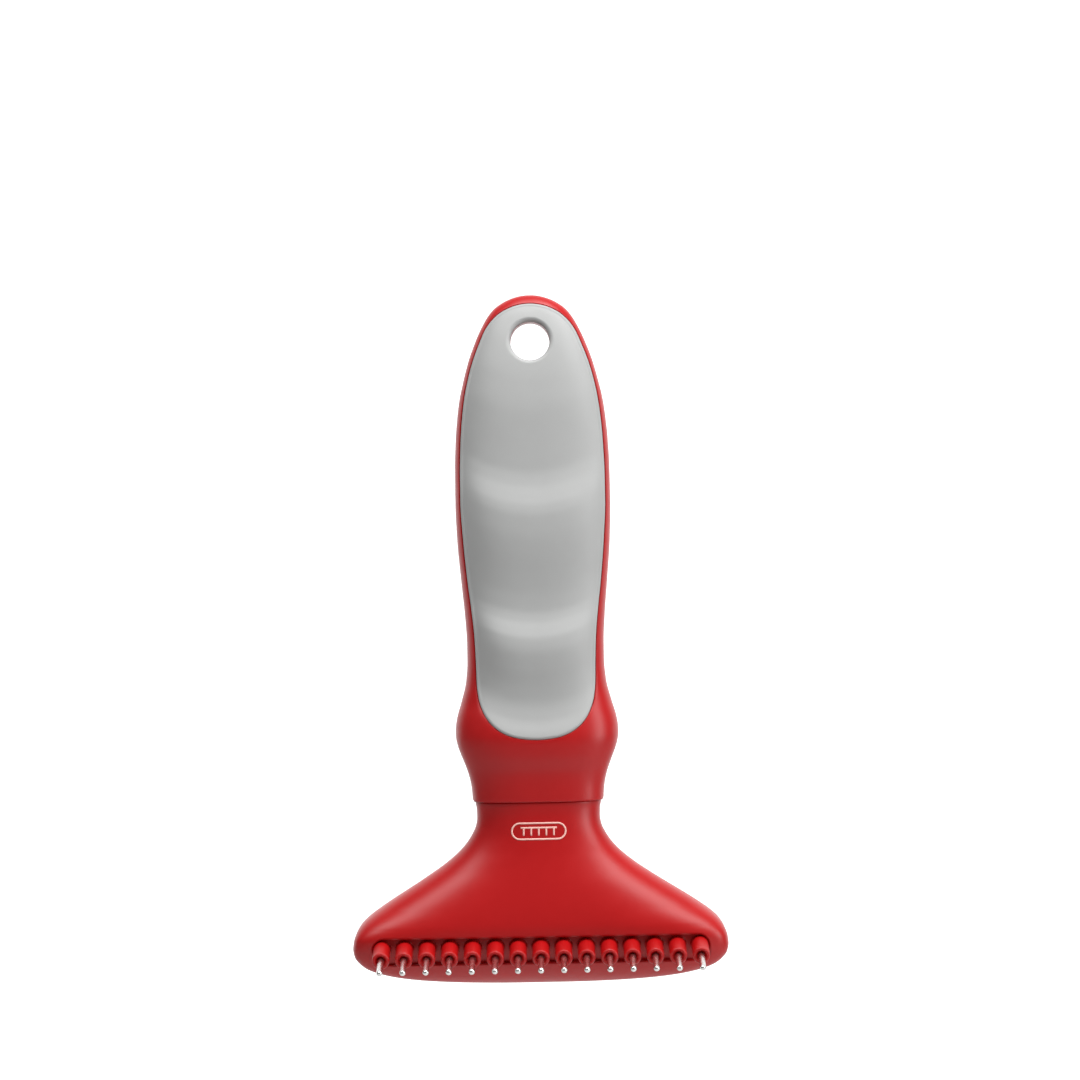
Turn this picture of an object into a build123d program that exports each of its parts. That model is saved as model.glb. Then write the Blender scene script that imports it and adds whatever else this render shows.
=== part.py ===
"""Undercoat rake: a hand tool with one row of free-turning steel pins, in millimetres.

Row frame: the rake hangs by the hole at the end of its handle. The origin is the centre of that
hole, +Z runs up to the handle's tip, +X to the right seen from the pins' side, and the pins point
towards -Y. The plane Y = 0 is the parting plane of the clamshell handle and head.
"""

import os
from math import atan2, copysign, cos, hypot, pi, radians, remainder, sin

from build123d import *

# ---------------------------------------------------------------- driving dimensions
WALL = 2.0                      # moulded wall of the handle and the head
TIP_Z = 9.4                     # end of the handle, above the hanging hole
SEAM_Z = -91.6                  # where the head's neck meets the handle's collar
SEAM_STEP = 0.4                 # the collar stands this much outside the neck
HOLE_RADIUS = 3.9               # hanging hole
FRONT_POWER = 2.7               # superellipse power of the handle's finger side
BACK_POWER = 2.2                # and of its palm side
REACH = 30.0                    # longer than anything it cuts
SECTION_POINTS = 40             # spline points round a section
LENGTH_SHARE = 0.35             # how far they follow length, the rest being turning
FINE_STEPS = 1440

PAD_DEPTH = 2.2                 # pocket under the soft finger pad
PAD_PROUD = 0.4                 # the soft pads stand this much out of the shell
THUMB_DEPTH = 1.6
THUMB_TOP_Z = -42.0
THUMB_BOTTOM_Z = -80.0
THUMB_HALF_WIDTH = 9.0

HEAD_WIDEST_Z = -120.4
HEAD_BOTTOM_Z = -128.0
HEAD_HALF_WIDTH = 37.4
HEAD_FRONT = 9.8                # depth of the head's front, from the parting plane
HEAD_BACK = 8.2
ROUNDING_Z = -116.0             # below this the front and back curve in to the bottom
BOTTOM_CORNER = 4.0
BOTTOM_POWER = 2.6              # superellipse power of the bottom seen from the front
HOLLOW_POWER = 3.3              # and of the hollow inside it
BOTTOM_ANGLES = (18, 36, 51, 68, 74)

PIN_COUNT = 15
PIN_PITCH = 4.5
PIN_TILT = 12.5                 # degrees, towards the bottom of the head
PIN_RADIUS = 0.6
PIN_REACH = 15.1                # from the floor of the recess to the tip
PIN_ROW = Location((0, -7.7, -120.2), (90 + PIN_TILT, 0, 0))   # its Z runs along the pins
FLANGE_RADIUS = 1.1
FLANGE_THICKNESS = 0.7
RUNNING_GAP = 0.05

BOSS_RADIUS = 1.7
BOSS_LENGTH = 7.4
BOSS_CHAMFER = 0.25
SINK_RADIUS = 1.25              # countersink round the pin at the boss's end
SINK_DEPTH = 0.6
BAR_THICKNESS = 2.4
BAR_HALF_LENGTH = 34.0
BAR_UP = 2.9                    # bar's edges above and below the pins' row
BAR_DOWN = 3.1
RETAINER_THICKNESS = 1.6
RETAINER_HALF_LENGTH = 32.4

RECESS_HALF_LENGTH = 33.6
RECESS_UP = 2.6                 # the recess's upper wall, above the pins' row
RECESS_DOWN = 2.9               # and its low step below the row
RECESS_CORNER = 2.2

TONGUE_HALF = (8.5, 4.4)        # half width and half depth of the head's tongue
TONGUE_TOP_Z = -70.0
TONGUE_ROOT_Z = -97.0
TONGUE_GAP = 0.1
POST_RADIUS = 1.5
POST_GAP = 0.05
BOSS_WALL = 1.2
CROSS_POST_Z = -76.0
CROSS_POST_RADIUS = 1.8

# Sections of the handle: height, half width, depth of the front, depth of the back.
HANDLE = [
    (9.25, 1.8, 1.0, 1.1),
    (8.4, 4.6, 2.3, 2.5),
    (6.4, 7.6, 3.9, 4.2),
    (3.0, 10.0, 5.2, 5.6),
    (-2.0, 11.9, 6.4, 7.0),
    (-8.0, 13.6, 7.4, 8.2),
    (-16.0, 14.85, 8.0, 9.4),
    (-25.0, 15.45, 8.3, 10.3),
    (-34.0, 15.5, 8.5, 10.8),
    (-43.0, 15.0, 8.5, 10.8),
    (-52.0, 14.2, 8.4, 10.3),
    (-60.0, 13.65, 8.4, 9.7),
    (-66.0, 13.75, 8.6, 9.5),
    (-71.5, 14.9, 9.1, 9.8),
    (-75.0, 16.0, 9.8, 10.2),
    (-78.5, 16.4, 10.2, 10.3),
    (-82.0, 15.4, 9.7, 9.8),
    (-86.0, 13.9, 8.6, 8.8),
    (SEAM_Z, 13.05, 7.9, 8.0),
]
# Crests and hollows of the finger pad along its middle: height, depth of the surface.
PAD_CREST = [
    (TIP_Z, 0.8),
    (8.4, 2.9),
    (6.4, 4.4),
    (3.0, 5.8),
    (-2.0, 7.1),
    (-8.0, 8.2),
    (-15.0, 8.9),
    (-21.0, 9.05),
    (-26.0, 9.1),
    (-30.0, 9.7),
    (-34.5, 10.35),
    (-40.0, 10.1),
    (-47.0, 9.4),
    (-52.5, 9.1),
    (-56.0, 9.5),
    (-60.5, 10.4),
    (-65.0, 9.9),
    (-71.0, 9.2),
    (-75.0, 9.9),
    (-79.0, 10.9),
    (-84.0, 9.9),
]
# Right edge of the finger pad, seen from the front: height, half width.
PAD_EDGE = [
    (7.5, 0.0),
    (5.9, 5.6),
    (0.0, 9.9),
    (-8.0, 12.3),
    (-18.0, 13.9),
    (-30.0, 14.35),
    (-43.0, 13.6),
    (-56.0, 12.0),
    (-66.0, 11.8),
    (-72.5, 10.9),
    (-77.0, 7.9),
    (-79.3, 0.0),
]
# Sections of the head down to its widest place: height, half width, depth of the front and of the
# back, corner radius. Below it the bottom is rounded both ways.
HEAD = [
    (SEAM_Z, 13.05 - SEAM_STEP, 7.5, 7.6, 6.3),
    (-94.6, 12.3, 7.3, 7.4, 6.2),
    (-97.6, 12.95, 7.3, 7.3, 6.0),
    (-101.0, 15.4, 7.6, 7.3, 5.8),
    (-104.5, 19.5, 8.1, 7.4, 5.4),
    (-108.5, 25.7, 8.8, 7.7, 4.9),
    (-112.5, 31.8, 9.4, 8.0, 4.5),
    (-116.0, 35.8, HEAD_FRONT, HEAD_BACK, 4.2),
    (HEAD_WIDEST_Z, HEAD_HALF_WIDTH, 9.15, 7.7, BOTTOM_CORNER),
]
# Alignment posts, as X and Z.
HANDLE_POSTS = [(-7.0, -20.0), (7.0, -20.0), (-8.0, -50.0), (8.0, -50.0)]
HEAD_POSTS = [(-17.0, -112.0), (17.0, -112.0), (0.0, -104.0)]
HANDLE_RIBS_Z = (-89.0, -82.0, -71.6)
CLAMP_RIBS_X = (-27.0, -9.0, 9.0, 27.0)
RIB_THICKNESS = 1.6


# ---------------------------------------------------------------- shapes used several times
def between(z, table):
    """Height z's value in a table of (height, value), by a cubic with limited slopes."""
    rows = sorted(table)
    heights = [row[0] for row in rows]
    values = [row[1] for row in rows]
    steps = [(values[i + 1] - values[i]) / (heights[i + 1] - heights[i]) for i in range(len(rows) - 1)]
    slopes = [steps[0]]
    for low, high in zip(steps, steps[1:]):
        slopes.append(0.0 if low * high <= 0 else 2 * low * high / (low + high))
    slopes.append(steps[-1])
    i = max(k for k in range(len(rows) - 1) if k == 0 or heights[k] <= z)
    span = heights[i + 1] - heights[i]
    t = (z - heights[i]) / span
    return (
        (1 + 2 * t) * (1 - t) ** 2 * values[i]
        + t * (1 - t) ** 2 * span * slopes[i]
        + t * t * (3 - 2 * t) * values[i + 1]
        - t * t * (1 - t) * span * slopes[i + 1]
    )


def section(z, half_width, front, back, front_power, back_power):
    """A closed egg-like section at height z: two half superellipses that meet at Y = 0.

    The spline's points are spread over the outline's length and over its turning together, so
    that tight ends get as many as the long flat sides.
    """
    outline = []
    for i in range(FINE_STEPS):
        angle = 2 * pi * i / FINE_STEPS + pi / 2
        power, depth = (back_power, back) if sin(angle) > 0 else (front_power, front)
        x = half_width * copysign(abs(cos(angle)) ** (2 / power), cos(angle))
        y = depth * copysign(abs(sin(angle)) ** (2 / power), sin(angle))
        outline.append((x, y))
    sides = [
        (b[0] - a[0], b[1] - a[1]) for a, b in zip(outline, outline[1:] + outline[:1])
    ]
    lengths = [hypot(*side) for side in sides]
    turns = [
        abs(remainder(atan2(b[1], b[0]) - atan2(a[1], a[0]), 2 * pi))
        for a, b in zip(sides, sides[1:] + sides[:1])
    ]
    points, gone = [], 0.0
    for place, length, turn in zip(outline, lengths, turns):
        if gone * SECTION_POINTS >= len(points):
            points.append(Vector(*place, z))
        gone += LENGTH_SHARE * length / sum(lengths) + (1 - LENGTH_SHARE) * turn / sum(turns)
    return Wire([Edge.make_spline(points, periodic=True)])


def handle_rows(side_inset, front_inset, back_inset):
    """Sections of the handle, moved in by the insets but never past half way."""
    return [
        (z, max(w - side_inset, w / 2), max(f - front_inset, f / 2), max(b - back_inset, b / 2))
        for z, w, f, b in HANDLE
    ]


def loft_handle(rows, tip=None):
    """A solid through handle sections, closed by a point at height tip if there is one."""
    wires = [section(*row, FRONT_POWER, BACK_POWER) for row in rows]
    return Solid.make_loft(([Vertex(0, 0, tip)] if tip is not None else []) + wires)


def head_rows(inset):
    """Sections of the head, moved in by inset, with the rounded bottom worked out."""
    rows = [(z, w - inset, f - inset, b - inset, max(r - inset, 0.6)) for z, w, f, b, r in HEAD]
    power = HOLLOW_POWER if inset else BOTTOM_POWER
    last = sin(radians(BOTTOM_ANGLES[-1]))
    drop = (HEAD_WIDEST_Z - HEAD_BOTTOM_Z - inset) / last
    reach = ROUNDING_Z - HEAD_BOTTOM_Z - inset + drop * (1 - last)
    for angle in BOTTOM_ANGLES:
        low = sin(radians(angle))
        z = HEAD_WIDEST_Z - drop * low
        half_width = (HEAD_HALF_WIDTH - inset) * (1 - low**power) ** (1 / power)
        share = (1 - ((ROUNDING_Z - z) / reach) ** 2) ** 0.5
        front, back = (HEAD_FRONT - inset) * share, (HEAD_BACK - inset) * share
        corner = max(0.3, min(BOTTOM_CORNER - inset, 0.45 * (front + back)))
        rows.append((z, half_width, front, back, corner))
    return rows


def loft_head(inset=0.0):
    """The head's outer form, or its cavity when moved in by a wall."""
    wires = []
    for z, half_width, front, back, corner in head_rows(inset):
        outline = Pos(0, (back - front) / 2, z) * RectangleRounded(2 * half_width, front + back, corner)
        wires.append(outline.face().outer_wire())
    return Solid.make_loft(wires)


def front_face(edge_table):
    """A face in the plane Y = 0 inside a symmetrical outline given by its right edge."""
    right = [Vector(half_width, 0, z) for z, half_width in edge_table]
    left = [Vector(-point.X, 0, point.Z) for point in right[-2:0:-1]]
    return Face(Wire([Edge.make_spline(right + left, periodic=True)]))


def block(x, y, z):
    """A box from its low and high limits along each axis."""
    size = (x[1] - x[0], y[1] - y[0], z[1] - z[0])
    middle = ((x[0] + x[1]) / 2, (y[0] + y[1]) / 2, (z[0] + z[1]) / 2)
    return Pos(*middle) * Box(*size)


def rod(radius, x, z, y_low, y_high):
    """A cylinder along Y."""
    return Pos(x, (y_low + y_high) / 2, z) * Rot(90, 0, 0) * Cylinder(radius, y_high - y_low)


def along_pins(shape):
    """Puts a shape from the pin row's own frame, with its Z along the pins, in the row frame."""
    return PIN_ROW * shape


FRONT_SIDE = block((-50, 50), (-REACH, 0), (-140, 20))
BACK_SIDE = block((-50, 50), (0, REACH), (-140, 20))


# ---------------------------------------------------------------- handle
def pad_column():
    """Everything in front of the finger pad's outline."""
    return extrude(front_face(PAD_EDGE), amount=REACH, dir=(0, -1, 0))


def thumb_column():
    """Everything behind the thumb pad's outline, an oval a little wider at its top."""
    edge = [
        (THUMB_TOP_Z, 0.0),
        (THUMB_TOP_Z - 5, THUMB_HALF_WIDTH * 0.82),
        ((THUMB_TOP_Z + THUMB_BOTTOM_Z) / 2, THUMB_HALF_WIDTH),
        (THUMB_BOTTOM_Z + 5, THUMB_HALF_WIDTH * 0.72),
        (THUMB_BOTTOM_Z, 0.0),
    ]
    return extrude(front_face(edge), amount=REACH, dir=(0, 1, 0))


def handle_body():
    return loft_handle(handle_rows(0, 0, 0), TIP_Z)


def pocket_floor():
    """The handle's form under both pads."""
    return loft_handle(handle_rows(1.2, PAD_DEPTH, THUMB_DEPTH), TIP_Z - 0.1)


def handle_cavity():
    """The hollow inside, open at the collar and closed below the hanging hole."""
    hollow = loft_handle(handle_rows(1.2 + WALL, PAD_DEPTH + WALL, THUMB_DEPTH + WALL)[4:])
    return hollow & block((-50, 50), (-REACH, REACH), (-140, -9))


def tongue(gap=0.0):
    """The head's tongue, which the handle's ribs hold."""
    half_x, half_y = (half + gap for half in TONGUE_HALF)
    shape = block((-half_x, half_x), (-half_y, half_y), (TONGUE_ROOT_Z - gap, TONGUE_TOP_Z + gap))
    return fillet(shape.edges().filter_by(Axis.Z), 1.5)


def handle_ribs(side):
    """Cross ribs that clamp the tongue, on one side of the parting plane."""
    slabs = [block((-50, 50), (-REACH, REACH), (z, z + RIB_THICKNESS)) for z in HANDLE_RIBS_Z]
    return handle_cavity() & side & (slabs[0] + slabs[1] + slabs[2])


def sockets(places, bottom_of):
    """Tubes on the front half that take the back half's posts, and the bores in them."""
    outer, bores = [], []
    for x, z in places:
        outer.append(rod(POST_RADIUS + POST_GAP + BOSS_WALL, x, z, -bottom_of(z), 0))
        bores.append(rod(POST_RADIUS + POST_GAP, x, z, -bottom_of(z) + WALL, 1))
    return outer, bores


def posts(places, top_of, length=3.0):
    """Posts on the back half that reach past the parting plane."""
    return [rod(POST_RADIUS, x, z, -length, top_of(z)) for x, z in places]


def handle_front_shell():
    """Front half of the handle, with the pocket for the finger pad."""
    body, floor, cavity = handle_body(), pocket_floor(), handle_cavity()
    tubes, bores = sockets(HANDLE_POSTS, lambda z: between(z, [(r[0], r[2]) for r in HANDLE]) - 2.6)
    shell = (body - (pad_column() - floor) - cavity) & FRONT_SIDE
    shell = shell + handle_ribs(FRONT_SIDE)
    for tube, bore in zip(tubes, bores):
        shell = shell + (tube & cavity) - bore
    boss = rod(CROSS_POST_RADIUS + BOSS_WALL, 0, CROSS_POST_Z, -REACH, -TONGUE_HALF[1] - TONGUE_GAP)
    shell = shell + (boss & cavity)
    shell = shell - rod(CROSS_POST_RADIUS + POST_GAP, 0, CROSS_POST_Z, -5.6, 0)
    shell = shell - tongue(TONGUE_GAP)
    return shell - rod(HOLE_RADIUS + 1.75, 0, 0, -REACH, REACH)


def handle_back_shell():
    """Back half of the handle, with the tube of the hanging hole and the alignment posts."""
    body, floor, cavity = handle_body(), pocket_floor(), handle_cavity()
    shell = (body - (thumb_column() - floor) - cavity) & BACK_SIDE
    shell = shell + handle_ribs(BACK_SIDE)
    for post in posts(HANDLE_POSTS, lambda z: between(z, [(r[0], r[3]) for r in HANDLE]) - 2.6):
        shell = shell + (post & floor)
    cross_post = rod(CROSS_POST_RADIUS, 0, CROSS_POST_Z, -5.4, 7.0)
    shell = shell - tongue(TONGUE_GAP) + cross_post
    tube = rod(HOLE_RADIUS + 1.7, 0, 0, -REACH, 1) & floor
    return shell + tube - rod(HOLE_RADIUS, 0, 0, -REACH, REACH)


def finger_pad():
    """Soft pad with three finger hollows, in the front shell's pocket."""
    heights = [row[0] for row in PAD_CREST[1:]]
    widths = [(row[0], row[1] + PAD_PROUD) for row in HANDLE]
    rows = [(z, between(z, widths), between(z, PAD_CREST), 4.0) for z in heights]
    outer = loft_handle(rows, TIP_Z + PAD_PROUD)
    pad = (outer & pad_column()) - pocket_floor()
    return pad - rod(HOLE_RADIUS, 0, 0, -REACH, REACH)


def thumb_pad():
    """Soft pad on the palm side, by the neck."""
    outer = loft_handle(handle_rows(-PAD_PROUD, 0, -PAD_PROUD)[6:])
    return (outer & thumb_column()) - pocket_floor()


# ---------------------------------------------------------------- head
def recess():
    """The recess that the pins stand in: all that is in front of the pin carrier."""
    low, high = -RECESS_DOWN, RECESS_UP
    outline = Pos(0, (low + high) / 2) * RectangleRounded(
        2 * RECESS_HALF_LENGTH, high - low, RECESS_CORNER
    )
    return along_pins(extrude(outline, amount=REACH / 2))


def carrier_bar(gap=0.0):
    """The bar of the pin carrier, or the room for it, in the row frame."""
    return along_pins(
        block(
            (-BAR_HALF_LENGTH - gap, BAR_HALF_LENGTH + gap),
            (-BAR_DOWN - gap, BAR_UP + gap),
            (-BAR_THICKNESS - gap, 0),
        )
    )


def head_front_shell():
    """Front half of the head, with the recess and the tongue that goes up into the handle."""
    cavity = loft_head(WALL)
    plug = block((-50, 50), (-REACH, REACH), (-95.0, SEAM_Z))
    shell = (loft_head() - (cavity - plug)) & FRONT_SIDE
    tubes, bores = sockets(HEAD_POSTS, lambda z: between(z, [(r[0], r[2]) for r in HEAD]) - 1.0)
    for tube, bore in zip(tubes, bores):
        shell = shell + (tube & loft_head(WALL / 2)) - bore
    shell = shell + tongue() - rod(CROSS_POST_RADIUS + POST_GAP, 0, CROSS_POST_Z, -REACH, REACH)
    room_behind = along_pins(block((-RETAINER_HALF_LENGTH, RETAINER_HALF_LENGTH), (-BAR_DOWN, BAR_UP), (-9, -BAR_THICKNESS)))
    return shell - recess() - carrier_bar(POST_GAP) - room_behind


def head_back_cover():
    """Back half of the head, with the ribs that press on the pin retainer."""
    cavity = loft_head(WALL)
    plug = block((-50, 50), (-REACH, REACH), (-95.0, SEAM_Z))
    cover = (loft_head() - (cavity - plug)) & BACK_SIDE
    for x in CLAMP_RIBS_X:
        cover = cover + block((x - RIB_THICKNESS / 2, x + RIB_THICKNESS / 2), (-6, 5), (-122.5, -118.0))
    ahead = block((-50, 50), (-8, 8), (-BAR_THICKNESS - RETAINER_THICKNESS, REACH))
    cover = cover - along_pins(ahead)
    for post in posts(HEAD_POSTS, lambda z: 6.2):
        cover = cover + post
    return cover - tongue(TONGUE_GAP)


def pin_places():
    """X of each pin."""
    middle = (PIN_COUNT - 1) / 2
    return [(i - middle) * PIN_PITCH for i in range(PIN_COUNT)]


def pin_carrier():
    """Bar with a hollow boss for each pin. The pins' flanges sit in its back."""
    boss = chamfer(Cylinder(BOSS_RADIUS, BOSS_LENGTH).edges().sort_by(Axis.Z)[-1], BOSS_CHAMFER)
    boss = Pos(0, 0, BOSS_LENGTH / 2) * boss
    sink = Pos(0, 0, BOSS_LENGTH - SINK_DEPTH / 2) * Cone(PIN_RADIUS + RUNNING_GAP, SINK_RADIUS, SINK_DEPTH)
    bore = Pos(0, 0, BOSS_LENGTH / 2) * Cylinder(PIN_RADIUS + RUNNING_GAP, 3 * BOSS_LENGTH)
    seat_depth = FLANGE_THICKNESS + 2 * RUNNING_GAP
    seat = Pos(0, 0, -BAR_THICKNESS + seat_depth / 2) * Cylinder(FLANGE_RADIUS + 0.1, seat_depth)
    bar = block((-BAR_HALF_LENGTH, BAR_HALF_LENGTH), (-BAR_DOWN, BAR_UP), (-BAR_THICKNESS, 0))
    for x in pin_places():
        bar = bar + Pos(x, 0, 0) * boss - Pos(x, 0, 0) * (sink + bore + seat)
    return along_pins(bar)


def pin_retainer():
    """Strip behind the carrier that keeps the pins' flanges in their seats."""
    back = -BAR_THICKNESS - RETAINER_THICKNESS
    half = RETAINER_HALF_LENGTH - 0.2
    return along_pins(block((-half, half), (-BAR_DOWN + 0.1, BAR_UP - 0.1), (back, -BAR_THICKNESS)))


def pin(x):
    """A round-nosed steel pin with a flange at its root."""
    root = -BAR_THICKNESS + RUNNING_GAP
    outline = Polyline(
        (0, root),
        (FLANGE_RADIUS, root),
        (FLANGE_RADIUS, root + FLANGE_THICKNESS),
        (PIN_RADIUS, root + FLANGE_THICKNESS),
        (PIN_RADIUS, PIN_REACH - PIN_RADIUS),
    )
    nose = CenterArc((0, PIN_REACH - PIN_RADIUS), PIN_RADIUS, 0, 90)
    profile = make_face(outline + nose + Line((0, PIN_REACH), (0, root)))
    turned = revolve(Plane.XZ * profile, Axis.Z)
    return along_pins(Pos(x, 0, 0) * turned)


# ---------------------------------------------------------------- export
def main():
    os.makedirs("parts", exist_ok=True)
    pieces = {
        "handle_front_shell": handle_front_shell(),
        "handle_back_shell": handle_back_shell(),
        "finger_pad": finger_pad(),
        "thumb_pad": thumb_pad(),
        "head_front_shell": head_front_shell(),
        "head_back_cover": head_back_cover(),
        "pin_carrier": pin_carrier(),
        "pin_retainer": pin_retainer(),
    }
    for number, x in enumerate(pin_places(), start=1):
        pieces[f"pin_{number:02d}"] = pin(x)
    for name, piece in pieces.items():
        print(f"{name:20s} solids {len(piece.solids())}  volume {piece.volume:9.1f}")
        export_step(piece, f"parts/{name}.step")


main()
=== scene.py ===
"""Undercoat rake: handle with soft pads, flared head, row of free-turning pins, and the studio.

Sizes in the classes are in millimetres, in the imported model's frame: +Z up along the handle, +X
along the row of pins, -Y towards the pins' side. Meshes are brought to metres when they are done.
"""

import logging  # noqa: E402
import math  # noqa: E402
from dataclasses import dataclass  # noqa: E402
from enum import Enum  # noqa: E402
from functools import partial  # noqa: E402
from typing import Callable, Iterable, Sequence, Union  # noqa: E402

import bmesh  # noqa: E402
import bpy  # noqa: E402
from mathutils import Matrix, Vector  # noqa: E402


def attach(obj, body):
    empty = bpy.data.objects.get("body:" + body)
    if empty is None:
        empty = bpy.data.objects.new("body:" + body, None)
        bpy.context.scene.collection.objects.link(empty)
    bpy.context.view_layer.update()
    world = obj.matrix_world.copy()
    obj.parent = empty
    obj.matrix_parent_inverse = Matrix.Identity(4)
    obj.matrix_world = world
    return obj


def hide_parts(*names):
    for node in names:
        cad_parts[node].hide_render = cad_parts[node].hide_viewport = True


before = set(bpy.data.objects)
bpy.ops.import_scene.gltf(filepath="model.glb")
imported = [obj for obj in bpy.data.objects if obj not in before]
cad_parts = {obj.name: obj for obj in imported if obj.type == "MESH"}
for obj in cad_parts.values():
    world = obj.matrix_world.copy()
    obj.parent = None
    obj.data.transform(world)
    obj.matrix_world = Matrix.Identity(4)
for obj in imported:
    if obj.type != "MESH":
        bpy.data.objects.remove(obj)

log = logging.getLogger("undercoat_rake")

MM = 0.001
WELD_MM = 2e-4
TINY = 1e-6
ROUND_ENDS = 2.0
CM3_PER_M3 = 1e6
BODY = "rake"

Point = tuple[float, float]
Table = Sequence[Point]
Depth = Callable[[float, float], float]


class Side(Enum):
    """Which face of the rake a surface belongs to, as its sign along Y."""

    FRONT = -1
    BACK = 1


class Slot(Enum):
    """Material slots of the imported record."""

    RED = "red_plastic"
    GREY = "soft_grey"
    STEEL = "pin_steel"


# ---------------------------------------------------------------- curves
def smooth(t: float) -> float:
    """Eases from 0 to 1 with level ends."""
    t = min(1.0, max(0.0, t))
    return t * t * (3 - 2 * t)


class Profile:
    """A value that follows height, through a table, by a cubic with limited slopes."""

    def __init__(self, table: Table, power: float = 1.0) -> None:
        """Sorts the table and works out its slopes.

        Args:
            table: Pairs of height and value.
            power: The value is kept to this power between rows, so that 2 gives round ends.
        """
        rows = sorted(table)
        self.power = power
        self.heights = [row[0] for row in rows]
        self.values = [row[1] ** power for row in rows]
        steps = [
            (self.values[i + 1] - self.values[i]) / (self.heights[i + 1] - self.heights[i])
            for i in range(len(rows) - 1)
        ]
        inner = [0.0 if a * b <= 0 else 2 * a * b / (a + b) for a, b in zip(steps, steps[1:])]
        self.slopes = [steps[0], *inner, steps[-1]]

    def __call__(self, z: float) -> float:
        """The value at height z, held at the table's ends."""
        heights = self.heights
        z = min(max(z, heights[0]), heights[-1])
        i = 0
        while i < len(heights) - 2 and heights[i + 1] < z:
            i += 1
        span = heights[i + 1] - heights[i]
        t = (z - heights[i]) / span
        value = (
            (1 + 2 * t) * (1 - t) ** 2 * self.values[i]
            + t * (1 - t) ** 2 * span * self.slopes[i]
            + t * t * (3 - 2 * t) * self.values[i + 1]
            - t * t * (1 - t) * span * self.slopes[i + 1]
        )
        return max(value, 0.0) ** (1 / self.power)


def between(a: Point, b: Point, t: float) -> Point:
    """The point at share t of the way from a to b."""
    return (a[0] + (b[0] - a[0]) * t, a[1] + (b[1] - a[1]) * t)


def moved(run: Sequence[Point], normals: Sequence[Vector], step: float) -> list[Point]:
    """A run moved along its normals, kept on the right of the middle plane.

    Args:
        run: The run.
        normals: One unit vector per point.
        step: How far it moves, backwards if negative.

    Returns:
        The moved run.
    """
    return [(max(p[0] + n.x * step, 0.0), p[1] + n.y * step) for p, n in zip(run, normals)]


def quarter(steps: int) -> list[float]:
    """Angles at equal steps over a quarter turn, both ends among them."""
    return [math.pi / 2 * k / steps for k in range(steps + 1)]


def lip(radius: float, drop: float, steps: int = 5) -> list[Point]:
    """Profile of a rounded edge and the straight wall below it.

    Args:
        radius: The rounding's radius.
        drop: How far down the wall ends.
        steps: Steps of the rounding.

    Returns:
        Pairs of step sideways and drop.
    """
    turn = [(radius * math.sin(a), radius * (1 - math.cos(a))) for a in quarter(steps)]
    return [*turn, (radius, drop)]


def resample(points: Sequence[Point], pieces: int) -> list[Point]:
    """Points at equal steps along a run of points.

    Args:
        points: The run.
        pieces: How many steps it is cut into.

    Returns:
        One point more than there are steps.
    """
    lengths = [0.0]
    for a, b in zip(points, points[1:]):
        lengths.append(lengths[-1] + math.dist(a, b))
    out, i = [], 0
    for k in range(pieces + 1):
        target = lengths[-1] * k / pieces
        while i < len(points) - 2 and lengths[i + 1] < target:
            i += 1
        t = (target - lengths[i]) / max(lengths[i + 1] - lengths[i], TINY**2)
        out.append(between(points[i], points[i + 1], t))
    return out


def chain(*parts: tuple[Sequence[Point], int]) -> list[Point]:
    """Several resampled runs joined end to end.

    Args:
        parts: Each run with the number of steps it is cut into.

    Returns:
        The joined points, each joint once.
    """
    out: list[Point] = []
    for points, pieces in parts:
        run = resample(points, pieces)
        out.extend(run[1:] if out else run)
    return out


def eased(a: Point, b: Point, steps: int) -> list[Point]:
    """Points on a straight run, closer together towards its far end.

    Args:
        a: Where it starts.
        b: Where it ends, on a round side.
        steps: How many steps it has.

    Returns:
        One point more than there are steps.
    """
    return [between(a, b, math.sin(math.pi / 2 * k / steps)) for k in range(steps)] + [b]


def outline(width: Profile, low: float, high: float, steps: int = 400) -> list[Point]:
    """The right edge of a symmetrical shape, finely stepped at its round ends.

    Args:
        width: Half width by height.
        low: Where it starts.
        high: Where it ends.
        steps: How many steps it has.

    Returns:
        The points, rising.
    """
    middle, half = (low + high) / 2, (high - low) / 2
    heights = [middle - half * math.cos(math.pi * i / steps) for i in range(steps + 1)]
    return [(width(z), z) for z in heights]


def cut(points: Sequence[Point], low: float, high: float) -> list[Point]:
    """The part of a rising run between two heights, with its ends on them.

    Args:
        points: The run.
        low: Where the part starts.
        high: Where it ends.

    Returns:
        The part.
    """

    def at(z: float) -> Point:
        """The run's point at height z."""
        for a, b in zip(points, points[1:]):
            if a[1] <= z <= b[1] and b[1] > a[1]:
                return (between(a, b, (z - a[1]) / (b[1] - a[1]))[0], z)
        return points[0] if z <= points[0][1] else points[-1]

    return [at(low), *[p for p in points if low < p[1] < high], at(high)]


def inward_normals(run: Sequence[Point]) -> list[Vector]:
    """Inward normals of a run that goes up the right side, level at its two ends.

    Args:
        run: The run, whose ends lie on the middle plane or on a shared edge.

    Returns:
        One unit vector per point, towards the inside.
    """
    out = []
    for i in range(len(run)):
        a, b = run[max(i - 1, 0)], run[min(i + 1, len(run) - 1)]
        along = Vector((b[0] - a[0], b[1] - a[1]))
        if i in (0, len(run) - 1):
            along = Vector((1.0 if i == 0 else -1.0, 0.0))
        out.append(Vector((-along.y, along.x)).normalized())
    return out


def across(a: Point, b: Point, t: float, width: Profile, follow: float) -> Point:
    """A point on the way from one edge point to another.

    Args:
        a: Where the way starts.
        b: Where it ends.
        t: Share of the way.
        width: Half width of the shape by height.
        follow: 0 goes straight, 1 keeps to its share of the width, which stays inside a waist.

    Returns:
        The point.
    """
    x, z = between(a, b, t)
    if follow > 0:
        share = a[0] / width(a[1]) * (1 - t) + b[0] / width(b[1]) * t
        x += (share * width(z) - x) * follow
    return (x, z)


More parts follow.
